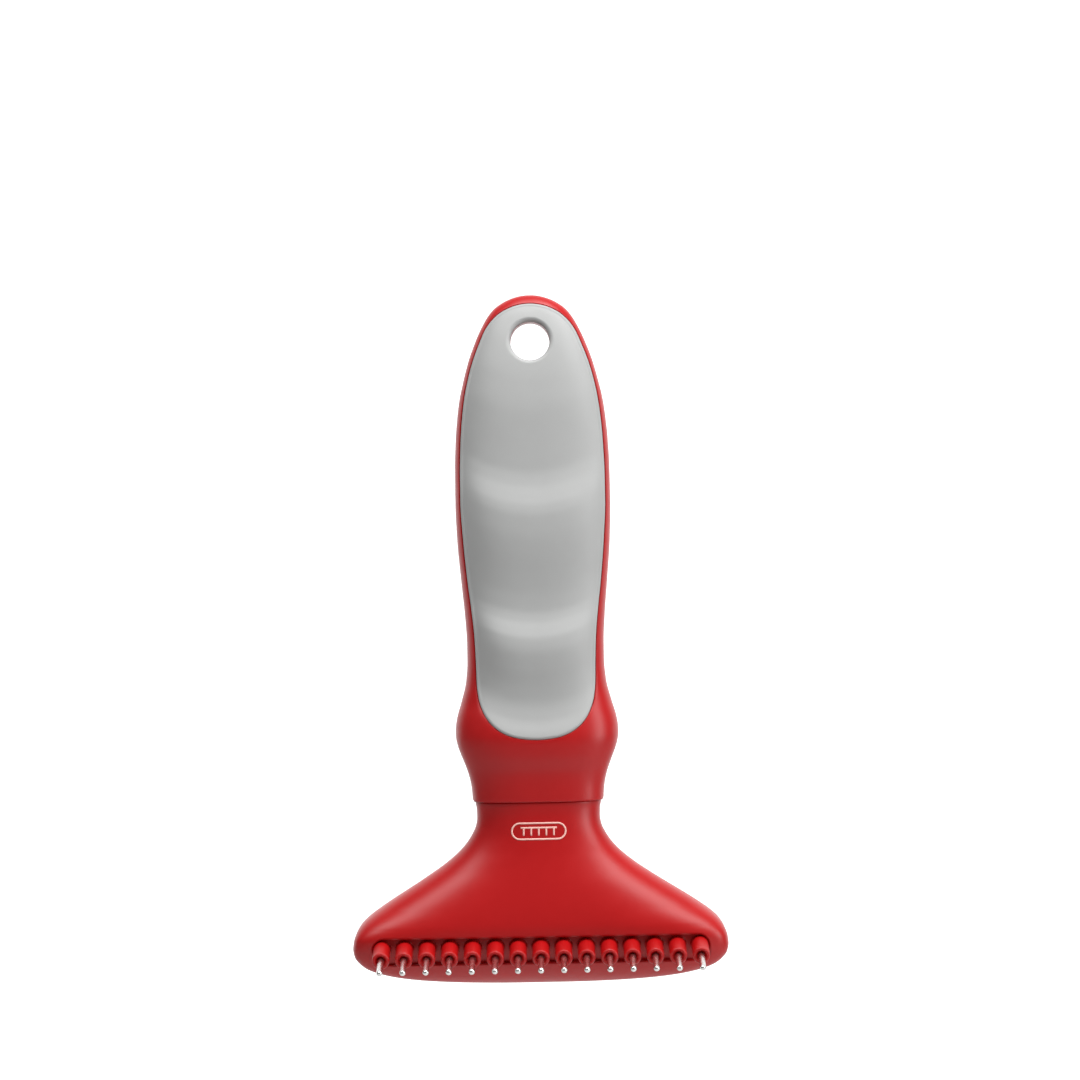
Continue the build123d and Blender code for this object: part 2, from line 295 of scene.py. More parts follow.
# ---------------------------------------------------------------- mesh building
class Skin:
    """A closed mesh laid down patch by patch on its right half, then mirrored and welded."""

    def __init__(self) -> None:
        """Starts an empty mesh."""
        self.bm = bmesh.new()

    def patch(self, columns: int, rows: int, place: Callable[[int, float], Vector]) -> None:
        """Adds a grid and lays each of its points.

        Args:
            columns: Steps along the chains.
            rows: Steps from the first chain to the last.
            place: Gives a point from the column's number and a share from 0 to 1 across the rows.
        """
        made = bmesh.ops.create_grid(self.bm, x_segments=columns, y_segments=rows, size=0.5)
        for vert in made["verts"]:
            column = round((vert.co.x + 0.5) * columns)
            vert.co = place(column, vert.co.y + 0.5)

    def wall(
        self, side: Side, run: list[Point], inward: list[Vector], profile: list[Point],
        depth: Depth,
    ) -> None:
        """Adds an edge that turns down from a chain.

        Args:
            side: Front or back.
            run: The chain.
            inward: Directions of the profile's sideways steps.
            profile: Pairs of step sideways and drop.
            depth: The surface that the chain lies on.
        """

        def place(column: int, share: float) -> Vector:
            """A point of the profile below the chain's point."""
            step, drop = profile[round(share * (len(profile) - 1))]
            x, z = run[column]
            inner = Vector((x, z)) + inward[column] * step
            return Vector((max(inner.x, 0.0), side.value * (depth(x, z) - drop), inner.y))

        self.patch(len(run) - 1, len(profile) - 1, place)

    def bridge(self, near: Sequence[Vector], far: Sequence[Vector], rows: int) -> None:
        """Adds a straight wall between two chains.

        Args:
            near: The first chain.
            far: The other, with as many points.
            rows: Steps between them.
        """

        def place(column: int, share: float) -> Vector:
            """A point on the way over."""
            return near[column].lerp(far[column], share)

        self.patch(len(near) - 1, rows, place)

    def fill(self, run: Sequence[Vector], rows: int, axis: int = 0) -> None:
        """Adds a face that goes straight in from an edge to a middle plane.

        Args:
            run: The edge.
            rows: Steps across the face.
            axis: 0 to go in along X, 1 along Y.
        """

        def place(column: int, share: float) -> Vector:
            """A point of the edge, moved in."""
            point = run[column].copy()
            point[axis] *= 1 - share
            return point

        self.patch(len(run) - 1, rows, place)

    def finish(self, name: str) -> bpy.types.Object:
        """Welds, mirrors, turns the faces outwards and makes the object.

        Args:
            name: The piece's name.

        Returns:
            The object, in metres.
        """
        bm = self.bm
        bmesh.ops.remove_doubles(bm, verts=bm.verts, dist=WELD_MM)
        for vert in bm.verts:
            if abs(vert.co.x) < WELD_MM:
                vert.co.x = 0.0
        half = bm.verts[:] + bm.edges[:] + bm.faces[:]
        bmesh.ops.mirror(bm, geom=half, merge_dist=WELD_MM, axis="X")
        bmesh.ops.remove_doubles(bm, verts=bm.verts, dist=WELD_MM)
        bmesh.ops.dissolve_degenerate(bm, edges=bm.edges, dist=WELD_MM / 2)
        return to_object(bm, name)


def to_object(bm: bmesh.types.BMesh, name: str) -> bpy.types.Object:
    """Scales a mesh to metres and links it as an object that stands at the origin.

    Args:
        bm: The mesh in millimetres. It is freed.
        name: The piece's name.

    Returns:
        The object, smooth shaded.
    """
    bmesh.ops.scale(bm, vec=(MM, MM, MM), verts=bm.verts)
    bmesh.ops.recalc_face_normals(bm, faces=bm.faces)
    open_edges = sum(1 for edge in bm.edges if len(edge.link_faces) != 2)
    volume = bm.calc_volume(signed=True)
    if volume < 0:
        bmesh.ops.reverse_faces(bm, faces=bm.faces)
    for face in bm.faces:
        face.smooth = True
    mesh = bpy.data.meshes.new(name)
    bm.to_mesh(mesh)
    bm.free()
    piece = bpy.data.objects.new(name, mesh)
    bpy.context.scene.collection.objects.link(piece)
    log.info(
        "%s: %d faces, %d open edges, %.2f cm3",
        name, len(mesh.polygons), open_edges, abs(volume) * CM3_PER_M3,
    )
    return piece


def dress(
    piece: bpy.types.Object, material: bpy.types.Material, slot: Slot, body: str,
    nodes: Iterable[str] = (),
) -> bpy.types.Object:
    """Gives a piece its material and tells the frame about it.

    Args:
        piece: The finished piece.
        material: Its finish.
        slot: Not used.
        body: The body it rides on.
        nodes: CAD nodes it stands for.

    Returns:
        The piece.
    """
    piece.data.materials.append(material)
    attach(piece, body)
    if nodes:
        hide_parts(*nodes)
    return piece


def lathe(profile: Sequence[Point], steps: int, matrix: Matrix) -> bmesh.types.BMesh:
    """Spins a profile round Z and puts it in place.

    Args:
        profile: Radius and height pairs, from the axis round to the axis.
        steps: Faces round the axis.
        matrix: Where the turned shape goes.

    Returns:
        The closed mesh.
    """
    bm = bmesh.new()
    start = bm.verts.new((profile[0][0], 0, profile[0][1]))
    for radius, height in profile[1:]:
        grown = bmesh.ops.extrude_vert_indiv(bm, verts=[start])
        start = grown["verts"][0]
        start.co = (radius, 0, height)
    bmesh.ops.spin(
        bm, geom=bm.verts[:] + bm.edges[:], cent=(0, 0, 0), axis=(0, 0, 1), angle=math.tau,
        steps=steps, use_merge=True,
    )
    bmesh.ops.remove_doubles(bm, verts=bm.verts, dist=WELD_MM)
    bmesh.ops.recalc_face_normals(bm, faces=bm.faces)
    bmesh.ops.transform(bm, matrix=matrix, verts=bm.verts)
    return bm


def rounded(corners: Sequence[tuple[float, float, float]], steps: int = 6) -> list[Point]:
    """A run of points with its corners rounded.

    Args:
        corners: Each corner with its radius.
        steps: Points on each rounding.

    Returns:
        The run.
    """
    out: list[Point] = []
    for i, (x, y, radius) in enumerate(corners):
        here = Vector((x, y))
        if radius <= 0 or i in (0, len(corners) - 1):
            out.append((x, y))
            continue
        before = (Vector(corners[i - 1][:2]) - here).normalized()
        after = (Vector(corners[i + 1][:2]) - here).normalized()
        half = before.angle(after) / 2
        back = radius / math.tan(half)
        a, b = here + before * back, here + after * back
        centre = here + (before + after).normalized() * (radius / math.sin(half))
        sweep = (a - centre).angle_signed(b - centre)
        for k in range(steps + 1):
            spoke = Matrix.Rotation(-sweep * k / steps, 2) @ (a - centre)
            out.append(tuple(centre + spoke))
    return out


def join(parts: Iterable[bmesh.types.BMesh]) -> bmesh.types.BMesh:
    """Several meshes as one. The parts are freed."""
    whole = bmesh.new()
    for part in parts:
        mesh = bpy.data.meshes.new("part")
        part.to_mesh(mesh)
        part.free()
        whole.from_mesh(mesh)
        bpy.data.meshes.remove(mesh)
    return whole


# ---------------------------------------------------------------- shader maths
Number = Union[float, "Socket"]


class Socket:
    """A number's output socket, with the operators that add Math nodes."""

    def __init__(self, graph: "Graph", output: bpy.types.NodeSocket) -> None:
        """Wraps one output of the graph."""
        self.graph, self.output = graph, output

    def _math(self, operation: str, *values: Number) -> "Socket":
        """A Math node on these values."""
        return self.graph.node("ShaderNodeMath", {"operation": operation}, dict(enumerate(values)))

    def __add__(self, other: Number) -> "Socket":
        """Sum."""
        return self._math("ADD", self, other)

    __radd__ = __add__

    def __sub__(self, other: Number) -> "Socket":
        """Difference."""
        return self._math("SUBTRACT", self, other)

    def __rsub__(self, other: Number) -> "Socket":
        """Difference the other way."""
        return self._math("SUBTRACT", other, self)

    def __mul__(self, other: Number) -> "Socket":
        """Product."""
        return self._math("MULTIPLY", self, other)

    __rmul__ = __mul__

    def clamp(self) -> "Socket":
        """Kept between 0 and 1."""
        return self._math("MAXIMUM", self._math("MINIMUM", self, 1.0), 0.0)


class Graph:
    """One material's node tree."""

    def __init__(self, name: str) -> None:
        """Makes the material and finds its shader."""
        self.material = bpy.data.materials.new(name)
        self.material.use_nodes = True
        self.tree = self.material.node_tree
        self.shader = self.tree.nodes["Principled BSDF"]

    def node(self, kind: str, settings: dict, inputs: dict, output: Union[int, str] = 0) -> Socket:
        """Adds a node.

        Args:
            kind: The node's type.
            settings: Its properties, such as a Math node's operation.
            inputs: Values or sockets by input name or number.
            output: The output that is handed back.

        Returns:
            The wrapped output.
        """
        made = self.tree.nodes.new(kind)
        for key, value in settings.items():
            setattr(made, key, value)
        for key, value in inputs.items():
            self.feed(made.inputs[key], value)
        return Socket(self, made.outputs[output])

    def feed(self, target: bpy.types.NodeSocket, value: object) -> None:
        """Links a socket to an input, or sets its value."""
        if isinstance(value, Socket):
            self.tree.links.new(value.output, target)
        else:
            target.default_value = value

    def place(self, scale: Sequence[float] = (1, 1, 1)) -> Socket:
        """Object coordinates in metres, scaled."""
        coords = self.node("ShaderNodeTexCoord", {}, {}, "Object")
        return self.node("ShaderNodeMapping", {}, {"Vector": coords, "Scale": tuple(scale)})

    def noise(
        self, size_mm: float, detail: float = 3.0, stretch: Sequence[float] = (1, 1, 1)
    ) -> Socket:
        """Noise from 0 to 1.

        Args:
            size_mm: About how large its features are.
            detail: Octaves.
            stretch: Scale along each axis.

        Returns:
            The noise.
        """
        where = self.place(tuple(s / (size_mm * MM) for s in stretch))
        inputs = {"Vector": where, "Scale": 1.0, "Detail": detail, "Roughness": 0.55}
        return self.node("ShaderNodeTexNoise", {}, inputs)

    def mix(self, share: Number, low: Sequence[float], high: Sequence[float]) -> Socket:
        """The colour at share between low and high."""
        return self.node("ShaderNodeMix", {"data_type": "RGBA"}, {0: share, 6: low, 7: high}, 2)

    def bump(self, height: Socket, depth_mm: float) -> None:
        """Feeds the shader's normal from a height of depth_mm at most."""
        inputs = {"Height": height, "Distance": depth_mm * MM, "Strength": 1.0}
        self.feed(self.shader.inputs["Normal"], self.node("ShaderNodeBump", {}, inputs))

    def set(self, **values: object) -> None:
        """Sets the shader's sockets, with underscores for blanks."""
        for key, value in values.items():
            self.feed(self.shader.inputs[key.replace("_", " ")], value)


@dataclass(frozen=True)
class MouldedPlastic:
    """Red moulded plastic with a fine spark-eroded grain and faint flow marks."""

    name: str = "red_satin_plastic"
    base: tuple = (0.395, 0.0030, 0.0038, 1)
    deep: tuple = (0.335, 0.0022, 0.0028, 1)
    roughness: float = 0.31
    patch_roughness: float = 0.07
    grain_roughness: float = 0.04
    ior: float = 1.5
    gloss: float = 0.40
    flow_mm: float = 9.0
    flow_stretch: tuple = (1, 1, 0.45)
    flow_share: float = 0.6
    patch_mm: float = 2.2
    grain_mm: float = 0.16
    grain_depth_mm: float = 0.004

    def build(self) -> bpy.types.Material:
        """Makes the material."""
        g = Graph(self.name)
        flow = g.noise(self.flow_mm, detail=2.0, stretch=self.flow_stretch)
        grain = g.noise(self.grain_mm, detail=2.0)
        patches = g.noise(self.patch_mm, detail=4.0)
        tone = flow * self.flow_share + patches * (1 - self.flow_share)
        rough = self.roughness + self.patch_roughness * patches + self.grain_roughness * grain
        g.set(
            Base_Color=g.mix(tone.clamp(), self.deep, self.base),
            Roughness=rough.clamp(),
            IOR=self.ior,
            Specular_IOR_Level=self.gloss,
        )
        g.bump(grain, self.grain_depth_mm)
        return g.material


@dataclass(frozen=True)
class SoftRubber:
    """Grey soft-touch moulding with a matte skin, slightly polished in soft random patches."""

    name: str = "grey_soft_rubber"
    base: tuple = (0.350, 0.353, 0.350, 1)
    deep: tuple = (0.315, 0.318, 0.314, 1)
    roughness: float = 0.56
    rough_swing: float = 0.08
    ior: float = 1.46
    cloud_mm: float = 7.0
    cloud_share: float = 0.75
    grain_mm: float = 0.22
    grain_depth_mm: float = 0.006

    def build(self) -> bpy.types.Material:
        """Makes the material."""
        g = Graph(self.name)
        cloud, grain = g.noise(self.cloud_mm), g.noise(self.grain_mm)
        tone = cloud * self.cloud_share + grain * (1 - self.cloud_share)
        rough = self.roughness - self.rough_swing * cloud + self.rough_swing * grain
        g.set(
            Base_Color=g.mix(tone.clamp(), self.deep, self.base),
            Roughness=rough.clamp(),
            IOR=self.ior,
        )
        g.bump(grain, self.grain_depth_mm)
        return g.material


@dataclass(frozen=True)
class PolishedSteel:
    """Bright drawn steel with fine lines along the pin."""

    name: str = "polished_pin_steel"
    base: tuple = (0.80, 0.79, 0.77, 1)
    deep: tuple = (0.66, 0.65, 0.63, 1)
    roughness: float = 0.17
    line_roughness: float = 0.10
    blotch_roughness: float = 0.05
    line_mm: float = 0.10
    line_stretch: tuple = (1, 0.03, 1)
    line_depth_mm: float = 0.0015
    blotch_mm: float = 1.4

    def build(self) -> bpy.types.Material:
        """Makes the material."""
        g = Graph(self.name)
        drawn = g.noise(self.line_mm, detail=2.0, stretch=self.line_stretch)
        blotch = g.noise(self.blotch_mm)
        rough = self.roughness + self.line_roughness * drawn + self.blotch_roughness * blotch
        g.set(
            Base_Color=g.mix((drawn * 0.5 + blotch * 0.5).clamp(), self.deep, self.base),
            Metallic=1.0,
            Roughness=rough.clamp(),
        )
        g.bump(drawn, self.line_depth_mm)
        return g.material


@dataclass(frozen=True)
class PrintedInk:
    """Pale pad-printed ink, thinner in places so that the plastic tints it."""

    name: str = "pale_printed_ink"
    base: tuple = (0.86, 0.52, 0.46, 1)
    deep: tuple = (0.72, 0.36, 0.31, 1)
    roughness: float = 0.42
    worn_roughness: float = 0.12
    worn_mm: float = 0.5
    worn_depth_mm: float = 0.003

    def build(self) -> bpy.types.Material:
        """Makes the material."""
        g = Graph(self.name)
        worn = g.noise(self.worn_mm, detail=4.0)
        g.set(
            Base_Color=g.mix(worn.clamp(), self.deep, self.base),
            Roughness=self.roughness + self.worn_roughness * worn,
        )
        g.bump(worn, self.worn_depth_mm)
        return g.material


@dataclass(frozen=True)
class StudioPaper:
    """Matt pale paper with a trace of mottling, lit through where it stands up as a wall."""

    name: str = "studio_paper"
    base: tuple = (0.76, 0.76, 0.76, 1)
    deep: tuple = (0.72, 0.72, 0.72, 1)
    roughness: float = 0.9
    mottle_mm: float = 60.0
    glow: float = 0.85
    glow_from_z: float = -0.44
    glow_rise: float = 0.10

    def build(self) -> bpy.types.Material:
        """Makes the material."""
        g = Graph(self.name)
        height = g.node("ShaderNodeSeparateXYZ", {}, {"Vector": g.place()}, "Z")
        standing = ((height - self.glow_from_z) * (1 / self.glow_rise)).clamp()
        g.set(
            Base_Color=g.mix(g.noise(self.mottle_mm).clamp(), self.deep, self.base),
            Roughness=self.roughness,
            Emission_Color=g.mix(standing, (0, 0, 0, 1), (1, 1, 1, 1)),
            Emission_Strength=self.glow,
        )
        return g.material


# ---------------------------------------------------------------- handle
@dataclass
class Handle:
    """The clamshell handle: its red body, the finger pad in front and the thumb pad behind."""

    red: bpy.types.Material
    grey: bpy.types.Material
    tip_z: float = 9.4
    collar_z: float = -91.6
    cross_z: float = -20.0
    hole_radius: float = 3.9
    hole_turn: float = math.radians(50)
    front_power: float = 2.7
    back_power: float = 2.2
    edge_round: float = 0.25
    seam_depth: float = 0.15
    seam_fade: float = 2.0
    follow_fade: float = 10.0
    pocket_depth: float = 1.6
    tube_front: float = 4.2
    tube_round: float = 0.8
    tube_drop: float = 2.0
    pad_low_z: float = -76.6
    pad_proud: float = 0.35
    pad_edge_round: float = 0.55
    pad_under: float = 1.35
    pad_hole_round: float = 0.9
    pad_hole_wall: float = 1.0
    pad_hole_end: float = 4.4
    crest_power: float = 5
    crest_bow: float = 3.7
    crest_half: float = 12.8
    crest_margin: float = 0.6
    thumb_proud: float = 0.45
    thumb_round: float = 0.6
    thumb_drop: float = 1.6
    thumb_low_z: float = -77.5
    thumb_high_z: float = -44.5
    rib_pitch: float = 4.0
    rib_depth: float = 0.30
    rib_centre: float = -61.0
    rib_ends: tuple = (-77.0, -46.0)
    rib_fade: float = 5.0
    collar_steps: int = 26
    low_steps: int = 120
    high_steps: int = 72
    thumb_steps: int = 150
    rows: int = 30
    hidden_rows: int = 6
    pad_columns: int = 44
    pad_rows: int = 40
    half_width: Table = (
        (9.4, 0.0), (9.25, 1.75), (8.4, 4.45), (6.4, 7.4), (2.4, 9.95), (-0.6, 11.25),
        (-3.6, 12.35), (-7.6, 13.45), (-11.6, 14.35), (-15.6, 14.88), (-19.6, 15.22),
        (-25.0, 15.45), (-32.0, 15.5), (-39.6, 15.25), (-47.6, 14.6), (-55.6, 13.9),
        (-60.0, 13.68), (-63.6, 13.68), (-67.6, 14.0), (-71.6, 14.98), (-75.0, 15.95),
        (-76.8, 16.22), (-78.4, 16.25), (-80.0, 16.0), (-81.6, 15.5), (-83.4, 14.8),
        (-86.0, 13.87), (-88.6, 13.3), (-91.6, 13.05),
    )
    front: Table = (
        (9.4, 0.0), (8.4, 2.3), (6.4, 3.9), (3.0, 5.2), (-2.0, 6.4), (-8.0, 7.4), (-16.0, 8.0),
        (-25.0, 8.3), (-34.0, 8.5), (-52.0, 8.4), (-60.0, 8.4), (-66.0, 8.6), (-71.5, 9.1),
        (-75.0, 9.8), (-78.5, 10.15), (-82.0, 9.7), (-86.0, 8.6), (-91.6, 7.9),
    )
    back: Table = (
        (9.4, 0.0), (8.4, 2.5), (6.4, 4.2), (3.0, 5.6), (-2.0, 7.0), (-8.0, 8.2), (-16.0, 9.4),
        (-25.0, 10.3), (-34.0, 10.8), (-43.0, 10.8), (-52.0, 10.3), (-60.0, 9.7), (-66.0, 9.5),
        (-71.5, 9.8), (-78.5, 10.3), (-82.0, 9.8), (-86.0, 8.8), (-91.6, 8.0),
    )
    pad_edge: Table = (
        (7.5, 0.0), (6.8, 3.7), (5.2, 6.5), (2.4, 8.85), (-0.6, 10.2), (-3.6, 11.35),
        (-7.6, 12.5), (-11.6, 13.3), (-15.6, 13.8), (-19.6, 14.12), (-27.0, 14.38),
        (-31.6, 14.38), (-39.6, 13.95), (-47.6, 13.25), (-53.0, 12.6), (-58.0, 12.1),
        (-63.6, 11.85), (-68.0, 11.75), (-71.0, 11.4), (-73.6, 10.55), (-75.8, 9.15),
        (-77.4, 7.25), (-78.5, 4.8), (-79.1, 0.0),
    )
    crest: Table = (
        (9.4, 1.0), (7.4, 3.9), (3.0, 5.8), (-2.0, 7.1), (-8.0, 8.1), (-15.0, 8.6), (-21.0, 8.6),
        (-25.5, 8.62), (-28.5, 9.0), (-31.0, 9.65), (-33.0, 10.15), (-35.0, 10.35),
        (-38.0, 10.3), (-42.0, 9.95), (-47.0, 9.3), (-51.0, 8.9), (-53.5, 8.85), (-55.5, 9.15),
        (-57.5, 9.8), (-59.3, 10.3), (-61.2, 10.4), (-65.0, 9.95), (-69.0, 9.25), (-72.0, 8.95),
        (-75.0, 9.3), (-79.2, 10.35), (-84.0, 10.0),
    )
    thumb_edge: Table = (
        (-42.0, 0.0), (-43.0, 4.2), (-47.0, 7.6), (-54.0, 9.0), (-62.0, 8.9), (-70.0, 7.6),
        (-77.0, 4.9), (-79.4, 2.4), (-80.0, 0.0),
    )

    def __post_init__(self) -> None:
        """Makes the profiles and the edges that the patches share."""
        self.width = Profile(self.half_width, ROUND_ENDS)
        self.depths = {
            Side.FRONT: (Profile(self.front, ROUND_ENDS), self.front_power),
            Side.BACK: (Profile(self.back, ROUND_ENDS), self.back_power),
        }
        self.crest_line = Profile(self.crest)
        self.pad_width = Profile(self.pad_edge, ROUND_ENDS)
        self.thumb_width = Profile(self.thumb_edge, ROUND_ENDS)
        side = [(x - self.inset(z), z) for x, z in outline(self.width, self.collar_z, self.tip_z)]
        self.low = resample(cut(side, self.collar_z, self.cross_z), self.low_steps)
        self.high = resample(cut(side, self.cross_z, self.tip_z), self.high_steps)
        self.collar = eased((0.0, self.collar_z), self.low[0], self.collar_steps)
        self.cross = eased((0.0, self.cross_z), self.high[0], self.collar_steps)
        self.pulls = inward_normals(self.low + self.high[1:])
        pad = outline(self.pad_width, self.pad_edge[-1][0], self.pad_edge[0][0])
        self.pad_chain = chain(
            (cut(pad, pad[0][1], self.pad_low_z), self.collar_steps),
            (cut(pad, self.pad_low_z, self.cross_z), self.low_steps),
            (cut(pad, self.cross_z, pad[-1][1]), self.high_steps),
        )
        self.pad_inward = inward_normals(self.pad_chain)
        self.pad_split = self.collar_steps + self.low_steps
        self.thumb_outline = outline(
            self.thumb_width, self.thumb_edge[-1][0], self.thumb_edge[0][0]
        )

    def inset(self, z: float) -> float:
        """How far the rounding of the collar's edge takes the surface in at height z."""
        end = max(0.0, self.collar_z + self.edge_round - z)
        return self.edge_round - math.sqrt(max(self.edge_round**2 - end**2, 0.0))

    def surface(self, x: float, z: float, side: Side) -> float:
        """Depth of the red body's surface from the parting plane.

        Args:
            x: Distance from the middle.
            z: Height.
            side: Front or back.

        Returns:
            The depth, never under 0.
        """
        profile, power = self.depths[side]
        ratio = min(abs(x) / max(self.width(z) - self.inset(z), TINY), 1.0)
        return max(profile(z) - self.inset(z), 0.0) * (1 - ratio**power) ** (1 / power)

    def pad_surface(self, x: float, z: float) -> float:
        """Depth of the finger pad's surface, with crests that bow up towards its edges.

        Args:
            x: Distance from the middle.
            z: Height.

        Returns:
            The depth from the parting plane.
        """
        ratio = min(abs(x) / (self.pad_width(z) + self.crest_margin), 1.0)
        shifted = z - self.crest_bow * (abs(x) / self.crest_half) ** 2
        rim = self.surface(x, z, Side.FRONT) + self.pad_proud
        middle = self.depths[Side.FRONT][0](z)
        rise = self.crest_line(shifted) - middle - self.pad_proud
        return rim + rise * (1 - ratio**self.crest_power)

    def thumb_surface(self, x: float, z: float) -> float:
        """Depth of the thumb pad's surface, with ribs that fade out at its ends and sides.

        Args:
            x: Distance from the middle.
            z: Height.

        Returns:
            The depth from the parting plane.
        """
        low, high = self.rib_ends
        inside = max(0.0, 1 - (abs(x) / (self.thumb_width(z) + 0.01)) ** 2)
        ends = smooth((z - low) / self.rib_fade) * smooth((high - z) / self.rib_fade)
        rib = 0.5 + 0.5 * math.cos((z - self.rib_centre) * math.tau / self.rib_pitch)
        proud = self.thumb_proud - self.rib_depth * rib**2 * inside * ends
        return self.surface(x, z, Side.BACK) + proud

    def hole_chain(self, radius: float, low_steps: int) -> list[Point]:
        """Right half of a ring round the hanging hole, from bottom to top.

        Args:
            radius: The ring's radius.
            low_steps: Steps below the point where the cross edge meets the side.

        Returns:
            The ring's points.
        """
        turn = self.hole_turn
        angles = [turn * k / low_steps for k in range(low_steps)]
        angles += [
            turn + (math.pi - turn) * k / self.high_steps for k in range(self.high_steps + 1)
        ]
        return [(radius * math.sin(a), -radius * math.cos(a)) for a in angles]

    def _lay_body(
        self, skin: Skin, side: Side, inner: list[Point], outer: list[Point],
        edge: dict[int, Vector],
    ) -> None:
        """Red surface between an inner chain and an outer one.

        Args:
            skin: The mesh.
            side: Front or back.
            inner: Chain round a pocket or a hole.
            outer: Chain on the body's edge, of the same length.
            edge: Inward normals of the columns whose outer end lies on the parting plane.
        """

        def place(column: int, share: float) -> Vector:
            """A point of the surface, or of the groove at the parting line."""
            a, b = inner[column], outer[column]
            follow = smooth((self.cross_z + self.follow_fade - b[1]) / self.follow_fade)
            x, z = across(a, b, math.sin(share * math.pi / 2), self.width, follow)
            if share < 1 - TINY or column not in edge:
                return Vector((x, side.value * self.surface(x, z, side), z))
            depth = self.seam_depth * smooth((z - self.collar_z) / self.seam_fade)
            away = edge[column] * depth
            return Vector((max(x + away.x, 0.0), 0.0, z + away.y))

        skin.patch(len(inner) - 1, self.rows, place)

    def _pocket(self, skin: Skin, side: Side, edge: list[Point]) -> list[Vector]:
        """Rounded lip and straight wall of a pocket.

        Args:
            skin: The mesh.
            side: Front or back.
            edge: The pocket's wall, seen from the front.

        Returns:
            The lower edge of the wall.
        """
        inward = inward_normals(edge)
        rim = moved(edge, inward, -self.edge_round)
        depth = partial(self.surface, side=side)
        skin.wall(side, rim, inward, lip(self.edge_round, self.pocket_depth), depth)
        return [
            Vector((x, side.value * (depth(*start) - self.pocket_depth), z))
            for (x, z), start in zip(edge, rim)
        ]

    def _front(self, skin: Skin) -> None:
        """Front surface, and the finger pad's pocket with its floor round the hole's tube."""
        rim = moved(self.pad_chain, self.pad_inward, -self.edge_round)
        outer = self.collar + self.low[1:] + self.high[1:]
        edge = dict(enumerate(self.pulls, self.collar_steps))
        self._lay_body(skin, Side.FRONT, rim, outer, edge)
        floor = self._pocket(skin, Side.FRONT, self.pad_chain)
        skin.fill(floor[: self.pad_split + 1], self.collar_steps)
        hole = self.hole_chain(self.hole_radius, self.collar_steps)
        corner, steps = floor[self.pad_split], self.collar_steps
        far = [Vector((corner.x * k / steps, corner.y, corner.z)) for k in range(steps)]
        far += floor[self.pad_split :]

        def high_floor(column: int, share: float) -> Vector:
            """From the tube's end out to the pocket's wall."""
            end = far[column]
            x, z = between(hole[column], (end.x, end.z), share)
            return Vector((x, -self.tube_front + (end.y + self.tube_front) * smooth(share), z))

        skin.patch(len(far) - 1, rows=8, place=high_floor)

    def _hole_end(self, skin: Skin) -> None:
        """Upper back surface with the hanging hole's rounded mouth and its tube."""
        ring = self.hole_chain(self.hole_radius + self.tube_round, self.collar_steps)
        edge = dict(enumerate(self.pulls[self.low_steps :], self.collar_steps))
        self._lay_body(skin, Side.BACK, ring, self.cross + self.high[1:], edge)
        toward = [-Vector(point).normalized() for point in ring]
        depth = partial(self.surface, side=Side.BACK)
        skin.wall(Side.BACK, ring, toward, lip(self.tube_round, self.tube_drop), depth)
        hole = self.hole_chain(self.hole_radius, self.collar_steps)
        skin.bridge(
            [Vector((x, depth(*near) - self.tube_drop, z)) for (x, z), near in zip(hole, ring)],
            [Vector((x, -self.tube_front, z)) for x, z in hole],
            rows=4,
        )

    def _thumb_side(self, skin: Skin) -> None:
        """Lower back surface with the thumb pad's pocket."""
        thumb = self.thumb_outline
        edge = chain(
            (cut(thumb, thumb[0][1], self.thumb_low_z), self.collar_steps),
            (cut(thumb, self.thumb_low_z, self.thumb_high_z), self.low_steps),
            (cut(thumb, self.thumb_high_z, thumb[-1][1]), self.collar_steps),
        )
        rim = moved(edge, inward_normals(edge), -self.edge_round)
        outer = self.collar + self.low[1:] + self.cross[-2::-1]
        pulls = dict(enumerate(self.pulls[: self.low_steps + 1], self.collar_steps))
        self._lay_body(skin, Side.BACK, rim, outer, pulls)
        skin.fill(self._pocket(skin, Side.BACK, edge), self.hidden_rows)

    def body(self) -> bpy.types.Object:
        """The red handle body with its two pockets and the hanging hole."""
        skin = Skin()
        self._front(skin)
        self._hole_end(skin)
        self._thumb_side(skin)
        for side in Side:
            run = [Vector((x, side.value * self.surface(x, z, side), z)) for x, z in self.collar]
            skin.fill(run, self.hidden_rows, axis=1)
        nodes = ("handle_front_shell", "handle_back_shell")
        return dress(skin.finish("handle_shell"), self.red, Slot.RED, BODY, nodes)

    def finger_pad(self) -> bpy.types.Object:
        """The soft pad with its three finger hollows and the rolled edge round the hole."""
        skin, split, columns = Skin(), self.pad_split, self.pad_columns
        run = moved(self.pad_chain, self.pad_inward, self.pad_edge_round)

        def grip(column: int, share: float) -> Vector:
            """The surface below the cross edge."""
            x, z = run[column][0] * (1 - share), run[column][1]
            return Vector((x, -self.pad_surface(x, z), z))

        skin.patch(split, columns, grip)
        ring = self.hole_chain(self.hole_radius + self.pad_hole_round, columns)
        corner_x, corner_z = run[split]
        outer = [(corner_x * k / columns, corner_z) for k in range(columns)] + run[split:]

        def crown(column: int, share: float) -> Vector:
            """The surface from the hole's lip out to the pad's edge."""
            x, z = between(ring[column], outer[column], share)
            return Vector((x, -self.pad_surface(x, z), z))

